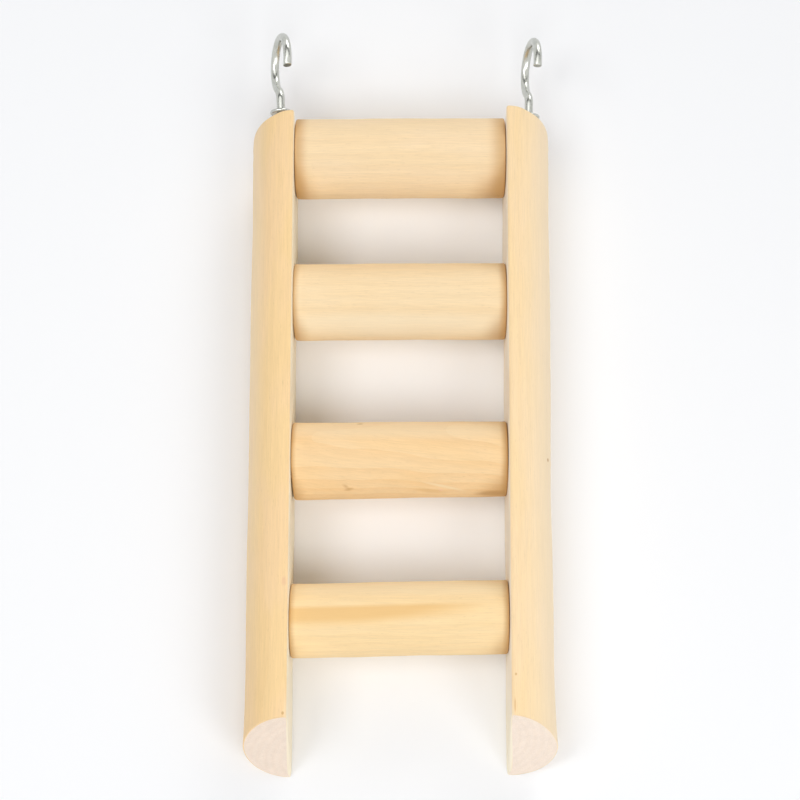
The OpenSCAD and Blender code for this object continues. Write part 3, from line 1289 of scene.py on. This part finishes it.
def rail_pieces(ladder: Ladder) -> dict[str, Rail]:
    """Names both rails with their woods.

    Args:
        ladder: the shared sizes.

    Returns:
        Each rail by its node.
    """
    left_marks = (
        # a paler outer side on the left rail, partly the wood's own tone and partly painted light
        Mark((-41.0, 30.0, 10.0), (8.5, 170.0, 40.0), "#ffefd6", 0.55, core=0.1),
        # painted light on the left rail's inner flat near the foot
        Mark((-28.2, -92.0, 5.0), (1.2, 24.0, 26.0), "#fff3da", 0.95, core=0.5),
        Mark((-28.9, -80.8, 22.9), (0.5, 0.6, 0.8), "#c99a5c", 0.6),
        Mark((-29.0, -48.1, 22.9), (0.8, 1.6, 1.5), "#eebd9a", 0.45),
        Mark((-27.9, 62.3, 22.9), (0.35, 0.8, 0.8), "#fff4de", 0.8),
    )
    right_marks = (
        # a paler outer side on the right rail, partly the wood's own tone and partly painted light
        Mark((41.0, -10.0, 10.0), (13.0, 400.0, 40.0), "#fdeed6", 0.6, core=0.1),
        # painted light on the right rail's inner flat near the foot
        Mark((28.2, -92.0, 5.0), (1.2, 24.0, 26.0), "#fff5df", 0.95, core=0.5),
        Mark((29.1, -71.1, 22.9), (0.4, 0.5, 0.8), "#d9ac6c", 0.7),
        Mark((28.8, -78.7, 22.9), (0.3, 2.6, 0.8), "#dcae72", 0.6),
        Mark((38.2, -16.4, 16.4), (0.7, 0.7, 0.9), "#c99a62", 0.7),
        Mark((38.5, -88.6, 15.8), (0.6, 0.8, 0.9), "#cfa06c", 0.6),
    )
    left = ("birch_left_rail", "#fbd9a2", "#f4cd90", "#fcd9ae", Grain.UP, (-24, 0, -22))
    right = ("birch_right_rail", "#fcdeae", "#f7d59c", "#fde0b8", Grain.UP, (61, 0, -12))
    return {
        "rail_left": Rail(
            Side.LEFT,
            ladder.tip,
            ladder.left_length,
            ladder,
            # the inner flat's tone, partly the sawn face's own colour and partly painted light
            Wood(*left, marks=left_marks, sawn="#fffbe9"),
            EndGrain("birch_end_grain_left", "#fae8d7", "#f0d7c1", (-20, 0, 6)),
        ),
        "rail_right": Rail(
            Side.RIGHT,
            ladder.tip + ladder.right_rise,
            ladder.right_length,
            ladder,
            # the inner flat's tone, partly the sawn face's own colour and partly painted light
            Wood(*right, marks=right_marks, sawn="#fffaf0"),
            EndGrain("birch_end_grain_right", "#feeddd", "#f5e0ca", (22, 0, 14)),
            full=0.28,
            burr=0.8,
            burr_reach=6.0,
            worn_edge=0.95,
            foot_skew=0.6,
            bow=0.3,
        ),
    }


def rung_pieces(ladder: Ladder) -> dict[str, Rung]:
    """Names the four rungs with their woods, from the hooks down.

    A rung gets painted shade where it meets each rail, standing in for the shade that the rails cast
    on it, and more widely along its lower edge. The shaded ends give how far that painted shade runs
    along the rung, how strong it is, and how far it runs on the lower edge.

    Args:
        ladder: the shared sizes.

    Returns:
        Each rung by its node.
    """
    # painted shade at each rung end: reach along the rung, strength, reach on the lower edge
    shaded_ends = (
        ((4.2, 0.78, 8.0), (5.5, 0.75, 12.0)),
        ((2.0, 0.6, 5.5), (2.6, 0.85, 8.0)),
        ((1.6, 0.7, 5.0), (2.4, 0.95, 11.0)),
        ((1.8, 0.5, 3.5), (2.2, 0.8, 7.0)),
    )
    # each rung's own marks, with broad bands of painted light on rungs 2 to 4
    rung_marks_and_painted_light = (
        (),
        # painted light: a broad pale band along the lower edge of rung 2
        (Mark((0.0, 18.6, 20.0), (70.0, 4.2, 14.0), "#fff3d8", 0.42),),
        (
            # painted light: a broad pale band along the top edge of rung 3
            Mark((0.0, -8.0, 20.0), (70.0, 4.5, 14.0), "#fdeccb", 0.4),
            Mark((-13.9, -23.4, 17.7), (1.5, 0.7, 1.5), "#b98345", 0.45, turn=-28, core=0.0),
            Mark((-12.9, -24.1, 17.0), (1.9, 0.6, 1.5), "#b98345", 0.5, turn=14, core=0.0),
            Mark((-10.3, -7.0, 15.5), (1.2, 0.6, 1.2), "#b7894c", 0.5),
            Mark((10.6, -24.2, 16.3), (0.8, 0.6, 1.0), "#fbd0ae", 0.6),
            Mark((11.4, -23.4, 17.2), (8.0, 0.4, 4.0), "#fde3bb", 0.8, turn=-10),
            Mark((8.0, -24.4, 16.2), (6.0, 0.7, 3.0), "#dcb070", 0.3, turn=-6),
            # painted shade in the lower right corner of rung 3
            Mark((24.0, -24.8, 14.8), (6.0, 0.8, 3.0), "#b07f45", 0.5, turn=2),
        ),
        (
            # painted light: a broad pale band along the top edge of rung 4
            Mark((0.0, -48.7, 20.0), (70.0, 3.8, 14.0), "#fff0cf", 0.32),
            Mark((-18.0, -54.3, 20.5), (46.0, 5.6, 12.0), "#efc381", 0.8, turn=1.6, core=0.5, half=True),
        ),
    )
    tones = (
        ("#fce0b5", "#f5d3a3", "#fce2bd", Grain.ACROSS, (0, 46, -8)),
        ("#fbdfb3", "#f3d29f", "#fbe2ba", Grain.ACROSS, (0, 48, 2)),
        ("#fbd7a3", "#f1c387", "#fadbae", Grain.ACROSS, (0, -30, -8), (0.0, -7.0), 0.28),
        ("#fddfac", "#f6cf96", "#fde1b2", Grain.ACROSS, (0, -80, -4)),
    )
    shapes = (
        {"diameter": 21.3, "end_gaps": (0.15, 0.08), "gap_angles": (230.0, 60.0)},
        {"diameter": 20.25, "end_gaps": (0.3, 0.08), "gap_angles": (225.0, 60.0)},
        {
            "diameter": 19.9,
            "end_gaps": (0.5, 0.1),
            "gap_angles": (190.0, 70.0),
            "taper": 0.6,
            "dents": (Dent(-13.7, 128.0, 1.0, 0.5, 0.1), Dent(-10.3, 24.0, 1.2, 0.5, 0.25)),
        },
        {"diameter": 19.0, "end_gaps": (0.05, 0.06), "gap_angles": (180.0, 70.0)},
    )
    cut = EndGrain("birch_end_grain_rungs", "#f2dcc2", "#e6c9a8", (0, 0, 0))
    shade, rungs = "#d0a36a", {}
    for number, drop in enumerate(ladder.rung_drops):
        name, height, marks = f"rung_{number + 1}", ladder.tip - drop, rung_marks_and_painted_light[number]
        # painted shade where the rung meets each rail, wider along its lower edge
        for side, (reach, share, corner) in zip(Side, shaded_ends[number]):
            marks += (
                Mark((side * 27.8, height, 14.0), (reach, 60.0, 60.0), shade, share, core=0.1),
                Mark((side * 28.5, height - 10.0, 14.0), (corner, 8.0, 16.0), shade, 0.7, core=0.1),
            )
        wood = Wood("birch_" + name, *tones[number], marks=marks)
        rungs[name] = Rung(number, ladder=ladder, wood=wood, end_grain=cut, **shapes[number])
    return rungs


def hook_pieces(ladder: Ladder) -> dict[str, CupHook]:
    """Names the two hooks, which were screwed in and cut off by hand.

    Args:
        ladder: the shared sizes.

    Returns:
        Each hook by its node.
    """
    # Bright plating gives a pale, faintly green grey with sharp light and dark bands along the wire.
    zinc = Metal(
        "zinc_plated_wire",
        "#d3d4ce",
        "#b2b4ac",
        roughness=(0.18, 0.3),
        relief_mm=0.02,
        relief_strength=0.4,
        waffle_mm=0.0,
        cloud_mm=1.6,
        cloud_detail=4.0,
        cloud_span=(0.3, 0.7),
    )
    # The cutters left the wire's ends matt, the left one duller.
    dull_cut = Metal("sheared_wire_end_left", "#92948f", "#74756f", (0.5, 0.7), 0.03)
    pale_cut = Metal("sheared_wire_end_right", "#c2c4bf", "#a1a39d", (0.5, 0.7), 0.03)
    left = {"inset": 3.8, "depth": 4.6, "drop": -0.452, "turn": 17.0, "lean": -2.7, "tip_turn": 22.0}
    right = {"inset": 6.3, "depth": 5.8, "drop": 0.296, "turn": 10.0, "lean": 1.5, "tip_turn": 13.0}
    return {
        "hook_left": CupHook(Side.LEFT, ladder, zinc, dull_cut, shear=0.5, **left),
        "hook_right": CupHook(Side.RIGHT, ladder, zinc, pale_cut, shear=0.25, **right),
    }


def main() -> None:
    """Builds the studio and every piece in order, and reports each."""
    logging.basicConfig(level=logging.INFO, format="%(name)s: %(message)s")
    Studio().build()
    ladder = Ladder()
    for node, rail in rail_pieces(ladder).items():
        dress(rail.build(node), node)
    for node, rung in rung_pieces(ladder).items():
        dress(rung.build(node), node)
    for node, hook in hook_pieces(ladder).items():
        dress(hook.build(node), node)
    dress(NailSet(ladder, Metal()).build("nails"), "nails")


if __name__ == "__main__":
    main()
